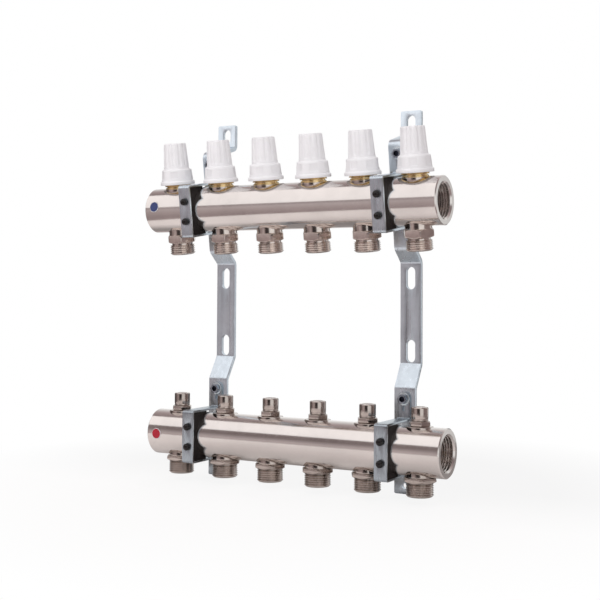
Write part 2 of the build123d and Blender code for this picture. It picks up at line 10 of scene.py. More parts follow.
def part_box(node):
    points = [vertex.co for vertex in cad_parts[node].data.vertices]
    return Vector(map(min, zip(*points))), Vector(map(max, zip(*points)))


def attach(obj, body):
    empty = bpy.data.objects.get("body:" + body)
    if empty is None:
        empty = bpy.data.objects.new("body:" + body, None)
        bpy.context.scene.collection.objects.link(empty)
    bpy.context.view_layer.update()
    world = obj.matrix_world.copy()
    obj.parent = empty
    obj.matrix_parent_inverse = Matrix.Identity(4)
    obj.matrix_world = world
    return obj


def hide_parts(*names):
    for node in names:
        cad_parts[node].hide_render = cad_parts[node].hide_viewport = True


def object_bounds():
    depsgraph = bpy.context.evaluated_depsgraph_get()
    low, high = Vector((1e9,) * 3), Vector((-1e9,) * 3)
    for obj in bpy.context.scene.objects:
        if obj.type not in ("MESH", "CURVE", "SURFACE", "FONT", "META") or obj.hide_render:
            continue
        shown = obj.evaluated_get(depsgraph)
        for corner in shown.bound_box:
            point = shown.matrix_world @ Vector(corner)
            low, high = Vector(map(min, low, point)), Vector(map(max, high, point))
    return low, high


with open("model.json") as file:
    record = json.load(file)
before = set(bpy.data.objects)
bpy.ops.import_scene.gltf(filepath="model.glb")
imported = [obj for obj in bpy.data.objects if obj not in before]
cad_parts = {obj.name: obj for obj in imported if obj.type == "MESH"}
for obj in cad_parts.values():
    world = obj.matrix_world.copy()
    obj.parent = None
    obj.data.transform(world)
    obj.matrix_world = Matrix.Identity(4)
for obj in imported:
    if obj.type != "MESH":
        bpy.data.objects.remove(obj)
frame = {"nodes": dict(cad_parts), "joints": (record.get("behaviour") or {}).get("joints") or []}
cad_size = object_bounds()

bl_info = {
    "name": "Distribution manifold",
    "version": (1, 0, 0),
    "blender": (4, 5, 0),
    "location": "View3D > Sidebar > Manifold",
    "description": "Dresses a heating manifold with its threads, caps, finishes and studio",
    "category": "Object",
}

MM = 0.001
ROOT_BODY = "manifold"
MERGE = 0.5e-6
MARKER_FLOOR = 20.05 * MM

# Sizes that several pieces share, in millimetres
SPIGOT_RADIUS = 9.0
SPIGOT_END = 14.7
COLLAR_RADIUS = 11.85
COLLAR_LEVEL = 17.84
SEAT_RADIUS = 12.05
SEAT_LEVEL = 17.806
OUTLET_RADIUS = 12.0
OUTLET_RIDGE = 1.05


# Places that come from the frame

def middle(node):
    """The middle of a node's box at rest"""
    low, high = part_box(node)
    return (Vector(low) + Vector(high)) / 2


def down_axis():
    """The direction in which the upper bar's valves close"""
    turn = next(joint for joint in frame["joints"] if joint["name"] == "cap_turn_1")
    return Vector(turn["axis"]).normalized()


CIRCUITS = [middle(f"lockshield_cap_{number}").x for number in range(1, 7)]
UPPER_TILT = atan2(down_axis().y, -down_axis().z)


def bar_matrix(bar, place=0.0):
    """From a bar's own frame, with its axis along X and its valves up, to the row's frame"""
    centre = middle(f"{bar}_bar")
    tilt = UPPER_TILT if bar == "upper" else 0.0
    return Matrix.Translation((place, centre.y, centre.z)) @ Matrix.Rotation(tilt, 4, "X")


def marker_seat(bar, node):
    """From a marker disc's own frame, with its back on the origin, to the row's frame"""
    place = bar_matrix(bar).inverted() @ middle(node)
    turn = atan2(place.z, -place.y)
    forward = Matrix.Rotation(pi / 2 - turn, 4, "X")
    return bar_matrix(bar, place.x) @ forward @ Matrix.Translation((0.0, 0.0, MARKER_FLOOR))


# Sizes and colours that a user may change

class ManifoldSizes(bpy.types.PropertyGroup):
    """Sizes of the detail that dresses the manifold"""

    outlet_pitch: FloatProperty(
        name="Outlet thread pitch", description="Distance between the outlet threads' ridges",
        default=1.81 * MM, min=0.5 * MM, unit="LENGTH", precision=5,
    )
    end_pitch: FloatProperty(
        name="Bar end thread pitch", description="Distance between the ridges in the bars' ends",
        default=2.31 * MM, min=0.5 * MM, unit="LENGTH", precision=5,
    )
    edge_round: FloatProperty(
        name="Turned edge", description="Rounding of turned edges",
        default=0.22 * MM, min=0.0, unit="LENGTH", precision=5,
    )
    sheet_round: FloatProperty(
        name="Sheet edge", description="Rounding of the brackets' and straps' edges",
        default=0.35 * MM, min=0.0, unit="LENGTH", precision=5,
    )
    flutes: IntProperty(
        name="Flutes", description="Flutes around each hand cap's grip", default=12, min=3, max=40,
    )
    flute_depth: FloatProperty(
        name="Flute depth", description="How deep the hand caps' flutes are",
        default=0.6 * MM, min=0.0, unit="LENGTH", precision=5,
    )


class ManifoldColours(bpy.types.PropertyGroup):
    """Colours of the manifold's finishes"""

    nickel: FloatVectorProperty(
        name="Nickel", description="Nickel plating", subtype="COLOR", size=4,
        default=(0.84, 0.80, 0.77, 1.0), min=0.0, max=1.0,
    )
    fitting: FloatVectorProperty(
        name="Fittings", description="Nickel plating of small fittings", subtype="COLOR", size=4,
        default=(0.80, 0.715, 0.66, 1.0), min=0.0, max=1.0,
    )
    brass: FloatVectorProperty(
        name="Brass", description="Bare brass of the valve inserts", subtype="COLOR", size=4,
        default=(0.94, 0.76, 0.45, 1.0), min=0.0, max=1.0,
    )
    zinc_with_painted_light: FloatVectorProperty(
        name="Zinc", description="Zinc plating of brackets and straps", subtype="COLOR", size=4,
        default=(0.78, 0.88, 0.96, 1.0), min=0.0, max=1.0,
    )
    cap: FloatVectorProperty(
        name="Cap white", description="Plastic of the hand caps", subtype="COLOR", size=4,
        default=(0.81, 0.81, 0.83, 1.0), min=0.0, max=1.0,
    )
    rubber: FloatVectorProperty(
        name="Rubber", description="Rubber of the liners", subtype="COLOR", size=4,
        default=(0.010, 0.008, 0.008, 1.0), min=0.0, max=1.0,
    )
    flow: FloatVectorProperty(
        name="Blue marker", description="Marker on the upper bar", subtype="COLOR", size=4,
        default=(0.022, 0.040, 0.15, 1.0), min=0.0, max=1.0,
    )
    hot: FloatVectorProperty(
        name="Red marker", description="Marker on the lower bar", subtype="COLOR", size=4,
        default=(0.42, 0.014, 0.032, 1.0), min=0.0, max=1.0,
    )


def sizes():
    return bpy.context.scene.manifold_sizes


def colours():
    return bpy.context.scene.manifold_colours


# Shader effects that several finishes share

def new_group(name, inputs, outputs):
    """An empty shader node group with its named sockets, and its two end nodes"""
    group = bpy.data.node_groups.new(name, "ShaderNodeTree")
    for label, kind, default in inputs:
        socket = group.interface.new_socket(name=label, in_out="INPUT", socket_type=kind)
        if default is not None:
            socket.default_value = default
    for label, kind in outputs:
        group.interface.new_socket(name=label, in_out="OUTPUT", socket_type=kind)
    return group, group.nodes.new("NodeGroupInput"), group.nodes.new("NodeGroupOutput")


def put(tree, socket, value):
    """Gives a socket a plain value, or wires another node's output to it"""
    if isinstance(value, bpy.types.NodeSocket):
        tree.links.new(value, socket)
    else:
        socket.default_value = value


def reckoned(tree, operation, *values):
    """A Math node's result"""
    node = tree.nodes.new("ShaderNodeMath")
    node.operation = operation
    for socket, value in zip(node.inputs, values):
        put(tree, socket, value)
    return node.outputs["Value"]


def spread(tree, value, start, end, low=0.0, high=1.0):
    """Turns a range of a value into a range between two levels"""
    node = tree.nodes.new("ShaderNodeMapRange")
    labels = ("Value", "From Min", "From Max", "To Min", "To Max")
    for label, given in zip(labels, (value, start, end, low, high)):
        put(tree, node.inputs[label], given)
    return node.outputs["Result"]


def blended(tree, share, first, second, way="MIX"):
    """A mix of two colours"""
    node = tree.nodes.new("ShaderNodeMix")
    node.data_type = "RGBA"
    node.blend_type = way
    for label, value in (("Factor", share), ("A", first), ("B", second)):
        put(tree, node.inputs[label], value)
    return node.outputs["Result"]


def tool_marks_group():
    """Fine parallel marks of a turning tool or a brush, stretched by a scale along each axis"""
    if "tool marks" in bpy.data.node_groups:
        return bpy.data.node_groups["tool marks"]
    group, start, end = new_group(
        "tool marks",
        (("Vector", "NodeSocketVector", None), ("Stretch", "NodeSocketVector", (1.0, 1.0, 1.0)),
         ("Turn", "NodeSocketVector", (0.0, 0.0, 0.0)), ("Dull", "NodeSocketFloat", 0.15),
         ("Bright", "NodeSocketFloat", 0.25)),
        (("Height", "NodeSocketFloat"), ("Roughness", "NodeSocketFloat")),
    )
    mapping = group.nodes.new("ShaderNodeMapping")
    for label, source in (("Vector", "Vector"), ("Scale", "Stretch"), ("Rotation", "Turn")):
        put(group, mapping.inputs[label], start.outputs[source])
    noise = group.nodes.new("ShaderNodeTexNoise")
    for label, value in (("Vector", mapping.outputs["Vector"]), ("Scale", 1.0), ("Detail", 4.0)):
        put(group, noise.inputs[label], value)
    height = noise.outputs["Fac"]
    put(group, end.inputs["Height"], height)
    dull, bright = start.outputs["Dull"], start.outputs["Bright"]
    put(group, end.inputs["Roughness"], spread(group, height, 0.3, 0.7, dull, bright))
    return group


def clouding_group():
    """A soft cloudy change between two colours, as plating and moulded plastic show"""
    if "clouding" in bpy.data.node_groups:
        return bpy.data.node_groups["clouding"]
    group, start, end = new_group(
        "clouding",
        (("Vector", "NodeSocketVector", None), ("Scale", "NodeSocketFloat", 40.0),
         ("Colour A", "NodeSocketColor", (1.0, 1.0, 1.0, 1.0)),
         ("Colour B", "NodeSocketColor", (0.5, 0.5, 0.5, 1.0)),
         ("Low", "NodeSocketFloat", 0.35), ("High", "NodeSocketFloat", 0.7)),
        (("Colour", "NodeSocketColor"),),
    )
    noise = group.nodes.new("ShaderNodeTexNoise")
    for label, value in (
        ("Vector", start.outputs["Vector"]), ("Scale", start.outputs["Scale"]),
        ("Detail", 5.0), ("Roughness", 0.6),
    ):
        put(group, noise.inputs[label], value)
    share = spread(group, noise.outputs["Fac"], start.outputs["Low"], start.outputs["High"])
    colour = blended(group, share, start.outputs["Colour A"], start.outputs["Colour B"])
    put(group, end.inputs["Colour"], colour)
    return group


class Finish:
    """A material with a Principled surface and Object coordinates, and short ways to add effects"""

    def __init__(self, name, metallic=0.0, **plain):
        self.material = bpy.data.materials.new(name)
        self.material.use_nodes = True
        self.tree = self.material.node_tree
        self.nodes = self.tree.nodes
        self.surface = self.nodes["Principled BSDF"]
        self.surface.inputs["Metallic"].default_value = metallic
        for label, value in plain.items():
            self.surface.inputs[label.replace("_", " ")].default_value = value
        self.places = self.nodes.new("ShaderNodeTexCoord").outputs["Object"]

    def group(self, tree, **values):
        node = self.nodes.new("ShaderNodeGroup")
        node.node_tree = tree
        for label, value in {"Vector": self.places, **values}.items():
            put(self.tree, node.inputs[label.replace("_", " ")], value)
        return node

    def clouds(self, first, second, scale, low=0.35, high=0.7):
        node = self.group(
            clouding_group(), Scale=scale, Colour_A=first, Colour_B=second, Low=low, High=high,
        )
        put(self.tree, self.surface.inputs["Base Color"], node.outputs["Colour"])
        return node

    def marks(self, stretch, dull, bright, turn=(0.0, 0.0, 0.0)):
        node = self.group(
            tool_marks_group(), Stretch=stretch, Turn=turn, Dull=dull, Bright=bright,
        )
        put(self.tree, self.surface.inputs["Roughness"], node.outputs["Roughness"])
        return node

    def relief(self, height, strength, distance):
        bump = self.nodes.new("ShaderNodeBump")
        for label, value in (("Strength", strength), ("Distance", distance), ("Height", height)):
            put(self.tree, bump.inputs[label], value)
        put(self.tree, self.surface.inputs["Normal"], bump.outputs["Normal"])


def shade(colour, share):
    """A colour made darker or lighter by a share"""
    return (*(min(1.0, part * share) for part in colour[:3]), 1.0)


MATERIALS = {}


def finish_of(name):
    """The named finish, built the first time that it is asked for"""
    if name not in MATERIALS:
        MATERIALS[name] = FINISHES[name]()
    return MATERIALS[name]


def bar_nickel():
    """Nickel plating on a turned bar: fine rings round the bar and a slightly cloudy tone"""
    finish = Finish("bar nickel", metallic=1.0)
    finish.clouds(colours().nickel, shade(colours().nickel, 0.90), 28.0)
    marks = finish.marks((1500.0, 25.0, 25.0), 0.10, 0.19)
    finish.relief(marks.outputs["Height"], 0.10, 0.04 * MM)
    return finish.material


def fitting_nickel(name, tilt, tone):
    """Nickel plating on the small fittings: turning rings across their own axis"""
    finish = Finish(name, metallic=1.0)
    # tone scales the plating's colour: a share below 1 is painted shade, as on the lower fittings
    bright = shade(colours().fitting, tone)
    finish.clouds(bright, shade(bright, 0.72), 90.0, 0.4, 0.75)
    marks = finish.marks((30.0, 30.0, 1700.0), 0.10, 0.20, (-tilt, 0.0, 0.0))
    finish.relief(marks.outputs["Height"], 0.14, 0.05 * MM)
    return finish.material


def brass():
    finish = Finish("turned brass", metallic=1.0)
    finish.clouds(colours().brass, shade(colours().brass, 0.78), 120.0, 0.4, 0.7)
    marks = finish.marks((30.0, 30.0, 1800.0), 0.10, 0.24, (-UPPER_TILT, 0.0, 0.0))
    finish.relief(marks.outputs["Height"], 0.12, 0.05 * MM)
    return finish.material


def bracket_zinc():
    """Bright zinc on rolled flat bar: streaks along its length and a cloudy, bluish passivation"""
    finish = Finish("bracket zinc", metallic=1.0)
    finish.clouds(shade(colours().zinc_with_painted_light, 1.05), shade(colours().zinc_with_painted_light, 0.86), 55.0, 0.3, 0.75)
    marks = finish.marks((420.0, 420.0, 14.0), 0.24, 0.40)
    finish.relief(marks.outputs["Height"], 0.18, 0.08 * MM)
    return finish.material


def strap_zinc(name, tone):
    """Bright zinc on strip, with streaks around the strap"""
    finish = Finish(name, metallic=1.0)
    # tone scales the zinc's colour as painted light: below 1 it is painted shade, above 1 a
    # brighter lit copy
    dull = shade(colours().zinc_with_painted_light, 0.76 * tone)
    finish.clouds(shade(colours().zinc_with_painted_light, tone), dull, 70.0, 0.3, 0.75)
    marks = finish.marks((520.0, 18.0, 18.0), 0.22, 0.36)
    finish.relief(marks.outputs["Height"], 0.15, 0.06 * MM)
    return finish.material


def screw_zinc():
    """The clamp screws' darker zinc"""
    finish = Finish("screw zinc", metallic=1.0)
    finish.clouds((0.42, 0.46, 0.52, 1.0), (0.22, 0.25, 0.30, 1.0), 240.0)
    finish.marks((300.0, 300.0, 300.0), 0.18, 0.30)
    return finish.material


def socket_painted_shade():
    """Painted shade: near black on the inner walls and foot of the screws' sockets"""
    finish = Finish("socket painted shade", metallic=1.0)
    finish.clouds((0.035, 0.04, 0.06, 1.0), (0.015, 0.017, 0.025, 1.0), 300.0)
    finish.marks((400.0, 400.0, 400.0), 0.30, 0.45)
    return finish.material


def stem_steel():
    finish = Finish("stem steel", metallic=1.0)
    finish.clouds((0.60, 0.60, 0.61, 1.0), (0.50, 0.50, 0.52, 1.0), 150.0)
    finish.marks((40.0, 40.0, 1800.0), 0.14, 0.26, (-UPPER_TILT, 0.0, 0.0))
    return finish.material


def cap_plastic():
    """Moulded white plastic with a fine matt grain"""
    finish = Finish("cap plastic", Specular_IOR_Level=0.45, Coat_Weight=0.08, Coat_Roughness=0.3)
    finish.clouds(colours().cap, shade(colours().cap, 0.95), 60.0)
    marks = finish.marks((1400.0, 1400.0, 1400.0), 0.36, 0.46)
    finish.relief(marks.outputs["Height"], 0.10, 0.05 * MM)
    return finish.material


def liner_rubber():
    """Black rubber with a dull, lightly pitted skin"""
    finish = Finish("liner rubber", Specular_IOR_Level=0.22)
    finish.clouds(colours().rubber, shade(colours().rubber, 2.2), 160.0, 0.45, 0.8)
    marks = finish.marks((700.0, 700.0, 700.0), 0.48, 0.68)
    finish.relief(marks.outputs["Height"], 0.35, 0.15 * MM)
    return finish.material


def nub_rubber():
    """The smooth, shiny heads of the nubs"""
    finish = Finish("nub rubber", Specular_IOR_Level=0.35)
    finish.clouds(shade(colours().rubber, 0.6), shade(colours().rubber, 1.2), 300.0)
    finish.marks((500.0, 500.0, 500.0), 0.16, 0.26)
    return finish.material


def marker_paint(name, colour):
    finish = Finish(name, Specular_IOR_Level=0.35, Coat_Weight=0.08, Coat_Roughness=0.2)
    finish.clouds(colour, shade(colour, 0.8), 260.0)
    finish.marks((900.0, 900.0, 900.0), 0.28, 0.36)
    return finish.material


FINISHES = {
    "bar nickel": bar_nickel,
    "upper nickel": lambda: fitting_nickel("upper nickel", UPPER_TILT, 1.0),
    # painted shade: the lower fittings' nickel is the upper plating darkened by a share of 0.76
    "lower nickel with painted shade": lambda: fitting_nickel("lower nickel with painted shade", 0.0, 0.76),
    "brass": brass,
    "bracket zinc": bracket_zinc,
    # painted light: one zinc scaled by a share, darker on the lower straps (painted shade) and
    # brighter on the loose washers and nuts
    "upper zinc": lambda: strap_zinc("upper zinc", 0.98),
    "lower zinc": lambda: strap_zinc("lower zinc", 0.66),
    "loose zinc with painted light": lambda: strap_zinc("loose zinc with painted light", 1.1),
    "screw zinc": screw_zinc,
    "socket painted shade": socket_painted_shade,
    "stem steel": stem_steel,
    "cap plastic": cap_plastic,
    "liner rubber": liner_rubber,
    "nub rubber": nub_rubber,
    "blue": lambda: marker_paint("blue marker paint", colours().flow),
    "red": lambda: marker_paint("red marker paint", colours().hot),
    "marker rim": lambda: marker_paint("marker rim", (0.75, 0.75, 0.78, 1.0)),
}


# Ways to make and finish a mesh

def spun(mesh, profile, steps=72, material=0):
    """Spins a profile of (radius, height) points, in millimetres, round the Z axis"""
    corners = [mesh.verts.new((radius * MM, 0.0, height * MM)) for radius, height in profile]
    edges = [mesh.edges.new(pair) for pair in zip(corners, corners[1:])]
    if profile[0][0] > 0.0 and profile[-1][0] > 0.0:
        edges.append(mesh.edges.new((corners[-1], corners[0])))
    before = set(mesh.faces)
    bmesh.ops.spin(
        mesh, geom=corners + edges, cent=(0.0, 0.0, 0.0), axis=(0.0, 0.0, 1.0),
        angle=tau, steps=steps, use_merge=True,
    )
    made = [face for face in mesh.faces if face not in before]
    for face in made:
        face.material_index = material
    rim = {corner for face in made for corner in face.verts}
    bmesh.ops.remove_doubles(mesh, verts=list(rim), dist=MERGE)
    made = [face for face in mesh.faces if face not in before]
    bmesh.ops.recalc_face_normals(mesh, faces=made)
    return made


def ring(mesh, count, radius_at, height_at):
    """A closed ring of edges whose radius and height, in millimetres, follow the angle"""
    made = bmesh.ops.create_circle(mesh, cap_ends=False, radius=1.0, segments=count)["verts"]
    for corner in made:
        angle = atan2(corner.co.y, corner.co.x)
        radius = radius_at(angle) * MM
        corner.co = (cos(angle) * radius, sin(angle) * radius, height_at(angle) * MM)
    return list({edge for corner in made for edge in corner.link_edges})


def skinned(mesh, rings):
    """Joins rings into a shell, and closes its two ends"""
    before = set(mesh.faces)
    for lower_ring, upper_ring in zip(rings, rings[1:]):
        bmesh.ops.bridge_loops(mesh, edges=lower_ring + upper_ring)
    for end in (rings[0], rings[-1]):
        bmesh.ops.contextual_create(mesh, geom=end)
    bmesh.ops.recalc_face_normals(mesh, faces=[face for face in mesh.faces if face not in before])


def hexagon(mesh, flats, bottom, top, socket=()):
    """A hexagon with turned corners, and rings of (radius, height) for a socket in its top"""
    points = 72
    face_share = 0.97
    face = flats / 2 * face_share
    slope = tan(radians(30))

    def side(angle):
        return flats / 2 / cos((angle % (pi / 3)) - pi / 6)

    def flat(angle):
        return face

    rings = [
        ring(mesh, points, flat, lambda angle: bottom),
        ring(mesh, points, side, lambda angle: bottom + (side(angle) - face) * slope),
        ring(mesh, points, side, lambda angle: top - (side(angle) - face) * slope),
        ring(mesh, points, flat, lambda angle: top),
    ]
    for radius, height in socket:
        rings.append(ring(mesh, points, lambda angle: radius, lambda angle: height))
    skinned(mesh, rings)


def thread(radius, start, end, pitch, depth):
    """Profile points of a thread's ridges, between two heights in millimetres"""
    count = max(1, int(abs(end - start) / pitch))
    step = (end - start) / count
    points = []
    for turn in range(count):
        for share, cut in ((0.08, 0.0), (0.42, depth), (0.58, depth), (0.92, 0.0)):
            points.append((radius - cut, start + step * (turn + share)))
    return points


def rounded(mesh, width, segments=2, sharper=34.0):
    """Rounds a mesh's edges that are sharper than an angle in degrees"""
    sharp = [
        edge for edge in mesh.edges
        if len(edge.link_faces) == 2 and edge.calc_face_angle(0.0) > radians(sharper)
    ]
    if sharp and width > 0.0:
        bmesh.ops.bevel(
            mesh, geom=sharp, offset=width, segments=segments, profile=0.5, affect="EDGES",
            material=-1, clamp_overlap=True,
        )


def added(mesh, part):
    """Adds a second mesh to a first one"""
    holder = bpy.data.meshes.new("part")
    part.to_mesh(holder)
    part.free()
    mesh.from_mesh(holder)
    bpy.data.meshes.remove(holder)


def carved(mesh, tool):
    """A mesh with a second one cut out of it"""
    holders = []
    for part in (mesh, tool):
        data = bpy.data.meshes.new("carving")
        part.to_mesh(data)
        part.free()
        holders.append(bpy.data.objects.new("carving", data))
        bpy.context.scene.collection.objects.link(holders[-1])
    cut = holders[0].modifiers.new("cut", "BOOLEAN")
    cut.solver = "EXACT"
    cut.object = holders[1]
    result = bmesh.new()
    result.from_object(holders[0], bpy.context.evaluated_depsgraph_get())
    for holder in holders:
        data = holder.data
        bpy.data.objects.remove(holder)
        bpy.data.meshes.remove(data)
    return result


def cad_copy(node):
    """A merged copy of a CAD node's mesh, with its flat faces whole"""
    flat_within = radians(0.4)
    mesh = bmesh.new()
    mesh.from_mesh(frame["nodes"][node].data)
    bmesh.ops.remove_doubles(mesh, verts=mesh.verts, dist=2 * MERGE)
    bmesh.ops.dissolve_limit(
        mesh, angle_limit=flat_within, use_dissolve_boundaries=False,
        verts=mesh.verts, edges=mesh.edges,
    )
    return mesh


def piece(mesh, name, finishes, place=None, body=ROOT_BODY, stands_for=()):
    """Turns a bmesh into an object with its finishes, which rides on a body"""
    smooth_below = radians(32)
    if place is not None:
        mesh.transform(place)
    for face in mesh.faces:
        face.smooth = True
    for edge in mesh.edges:
        edge.smooth = len(edge.link_faces) == 2 and edge.calc_face_angle(0.0) < smooth_below
    data = bpy.data.meshes.new(name)
    mesh.to_mesh(data)
    mesh.free()
    for finish in finishes:
        data.materials.append(finish_of(finish))
    made = bpy.data.objects.new(name, data)
    bpy.context.scene.collection.objects.link(made)
    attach(made, body)
    if stands_for:
        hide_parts(*stands_for)
    return made


def dress(node, finish):
    """Gives a CAD node its finish"""
    materials = frame["nodes"][node].data.materials
    materials.clear()
    materials.append(finish_of(finish))


# The pieces

class MANIFOLD_OT_bars(bpy.types.Operator):
    """Two nickel-plated bars with seats for the circuits and a thread in each end"""

    bl_idname = "manifold.bars"
    bl_label = "Bars"

    bar_radius = 21.5
    bar_end = 151.0
    end_chamfer = 0.8
    bore_radius = 13.0
    thread_core = 15.15
    thread_depth = 1.15
    thread_from = 134.0
    thread_to = 149.0
    recess_radius = 5.1
    recess_depth = 3.0
    disc_room = 7.2
    port_radius = 5.5

    def half(self):
        """Half of the bar's profile of (radius, distance along) points, from middle to end"""
        core, start, end = self.thread_core, self.thread_from, self.thread_to
        bore = [(self.bore_radius, 0.0), (self.bore_radius, start - 2.15), (core, start)]
        bore += thread(core, start, end, sizes().end_pitch / MM, -self.thread_depth)
        bore += [(core, end + 0.45), (core + 1.55, self.bar_end)]
        rim = [(self.bar_radius - self.end_chamfer, self.bar_end)]
        return bore + rim + [(self.bar_radius, self.bar_end - self.end_chamfer)]

    def seats(self):
        """What is milled out for all circuits"""
        mesh = bmesh.new()
        clear = self.bar_radius + 1.5
        port_end = SPIGOT_END - 0.1
        above = [(0.0, clear), (SEAT_RADIUS, clear), (SEAT_RADIUS, SEAT_LEVEL)]
        above += [(SPIGOT_RADIUS, SEAT_LEVEL), (SPIGOT_RADIUS, 0.0)]
        inside = [(self.disc_room, 0.0), (self.disc_room, -self.bore_radius)]
        inside += [(self.port_radius, -self.bore_radius), (self.port_radius, -port_end)]
        below = [(SPIGOT_RADIUS, -port_end), (SPIGOT_RADIUS, -SEAT_LEVEL)]
        below += [(SEAT_RADIUS, -SEAT_LEVEL), (SEAT_RADIUS, -clear), (0.0, -clear)]
        for place in CIRCUITS:
            made = spun(mesh, above + inside + below)
            corners = {corner for face in made for corner in face.verts}
            bmesh.ops.translate(mesh, verts=list(corners), vec=(place, 0.0, 0.0))
        return mesh

    def execute(self, context):
        for bar, disc in (("upper", "blue_marker"), ("lower", "red_marker")):
            half = self.half()
            other_half = [(radius, -along) for radius, along in reversed(half[1:])]
            mesh = bmesh.new()
            spun(mesh, half + other_half, steps=160)
            mesh.transform(Matrix.Rotation(radians(90), 4, "Y"))
            mesh = carved(mesh, self.seats())
            recess = bmesh.new()
            rim, depth = self.recess_radius, self.recess_depth
            spun(recess, [(0.0, 0.0), (rim, 0.0), (rim, depth), (0.0, depth)])
            recess.transform(bar_matrix(bar).inverted() @ marker_seat(bar, disc))
            mesh = carved(mesh, recess)
            piece(
                mesh, f"{bar}_manifold_bar", ["bar nickel"], bar_matrix(bar),
                stands_for=[f"{bar}_bar"],
            )
        return {"FINISHED"}


class MANIFOLD_OT_outlets(bpy.types.Operator):
    """Twelve threaded outlets under the bars"""

    bl_idname = "manifold.outlets"
    bl_label = "Outlets"

    rim_chamfer = 1.4
    cone_radius = 9.0
    cone_depth = 4.5
    upper_flats = 25.0
    upper_hexagon = (-31.4, -23.7)
    upper_groove = 10.0
    upper_thread = (-33.4, -41.2)
    upper_end = -42.9
    upper_bore = 6.5
    lower_flats = 27.0
    lower_hexagon = (-26.0, -21.7)
    lower_groove = 11.2
    lower_thread = (-26.8, -36.7)
    lower_end = -38.4
    lower_bore = 7.5

    def execute(self, context):
        for number, place in enumerate(CIRCUITS, 1):
            self.upper(number, place)
            self.lower(number, place)
        return {"FINISHED"}

    def collar(self):
        """The spigot and the start of the collar, which stand in the bar"""
        spigot = [(SPIGOT_RADIUS, -SPIGOT_END), (SPIGOT_RADIUS, -COLLAR_LEVEL)]
        return spigot + [(COLLAR_RADIUS, -COLLAR_LEVEL)]

    def mouth(self, end, bore):
        """The end of the thread, the cone seat in it and the bore behind"""
        chamfer = self.rim_chamfer
        rim = [(OUTLET_RADIUS, end + chamfer), (OUTLET_RADIUS - chamfer, end)]
        return rim + [(self.cone_radius, end), (bore, end + self.cone_depth), (bore, -SPIGOT_END)]

    def upper(self, number, place):
        """Collar, cone, hexagon, groove and a short thread"""
        mesh = bmesh.new()
        bottom, top = self.upper_hexagon
        start, end = self.upper_thread
        profile = self.collar() + [(COLLAR_RADIUS, top + 1.3), (12.1, top), (12.1, bottom)]
        profile += [(self.upper_groove, bottom), (self.upper_groove, start)]
        profile += thread(OUTLET_RADIUS, start, end, sizes().outlet_pitch / MM, OUTLET_RIDGE)
        spun(mesh, profile + self.mouth(self.upper_end, self.upper_bore))
        hexagon(mesh, self.upper_flats, bottom, top)
        rounded(mesh, sizes().edge_round)
        piece(
            mesh, f"outlet_upper_{number}", ["upper nickel"], bar_matrix("upper", place),
            stands_for=[f"upper_outlet_{number}"],
        )

    def lower(self, number, place):
        """Collar, hexagon and a longer thread"""
        mesh = bmesh.new()
        bottom, top = self.lower_hexagon
        start, end = self.lower_thread
        profile = self.collar() + [(COLLAR_RADIUS, bottom)]
        profile += [(self.lower_groove, bottom), (self.lower_groove, start)]
        profile += thread(OUTLET_RADIUS, start, end, sizes().outlet_pitch / MM, OUTLET_RIDGE)
        spun(mesh, profile + self.mouth(self.lower_end, self.lower_bore))
        hexagon(mesh, self.lower_flats, bottom, top)
        rounded(mesh, sizes().edge_round)
        piece(
            mesh, f"outlet_lower_{number}", ["lower nickel with painted shade"], bar_matrix("lower", place),
            stands_for=[f"lower_outlet_{number}"],
        )


class MANIFOLD_OT_inserts(bpy.types.Operator):
    """Six brass valve inserts with the thread that the hand caps run on"""

    bl_idname = "manifold.inserts"
    bl_label = "Valve inserts"

    plated_to = 20.95
    stem_hole = 2.55
    thread_radius = 12.92

    def execute(self, context):
        for number, place in enumerate(CIRCUITS, 1):
            mesh = bmesh.new()
            profile = [(self.stem_hole, 9.0), (SPIGOT_RADIUS - 1.0, 9.0), (SPIGOT_RADIUS, 10.0)]
            profile += [(SPIGOT_RADIUS, COLLAR_LEVEL), (COLLAR_RADIUS, COLLAR_LEVEL)]
            profile += [(COLLAR_RADIUS, 20.8), (COLLAR_RADIUS - 0.25, 21.0), (COLLAR_RADIUS, 21.2)]
            profile += [(COLLAR_RADIUS, 22.0), (COLLAR_RADIUS - 0.5, 22.5)]
            profile += [(10.5, 22.5), (10.5, 23.4)]
            profile += thread(self.thread_radius, 23.4, 35.4, 1.5, 0.9)
            profile += [(self.thread_radius, 35.4), (self.thread_radius - 1.0, 36.4)]
            profile += [(5.5, 36.4), (5.5, 38.9), (self.stem_hole, 38.9)]
            spun(mesh, profile)
            rounded(mesh, sizes().edge_round)
            for face in mesh.faces:
                face.material_index = int(face.calc_center_median().z < self.plated_to * MM)
            piece(
                mesh, f"insert_{number}", ["brass", "upper nickel"], bar_matrix("upper", place),
                stands_for=[f"valve_insert_{number}"],
            )
            dress(f"valve_stem_{number}", "stem steel")
        return {"FINISHED"}


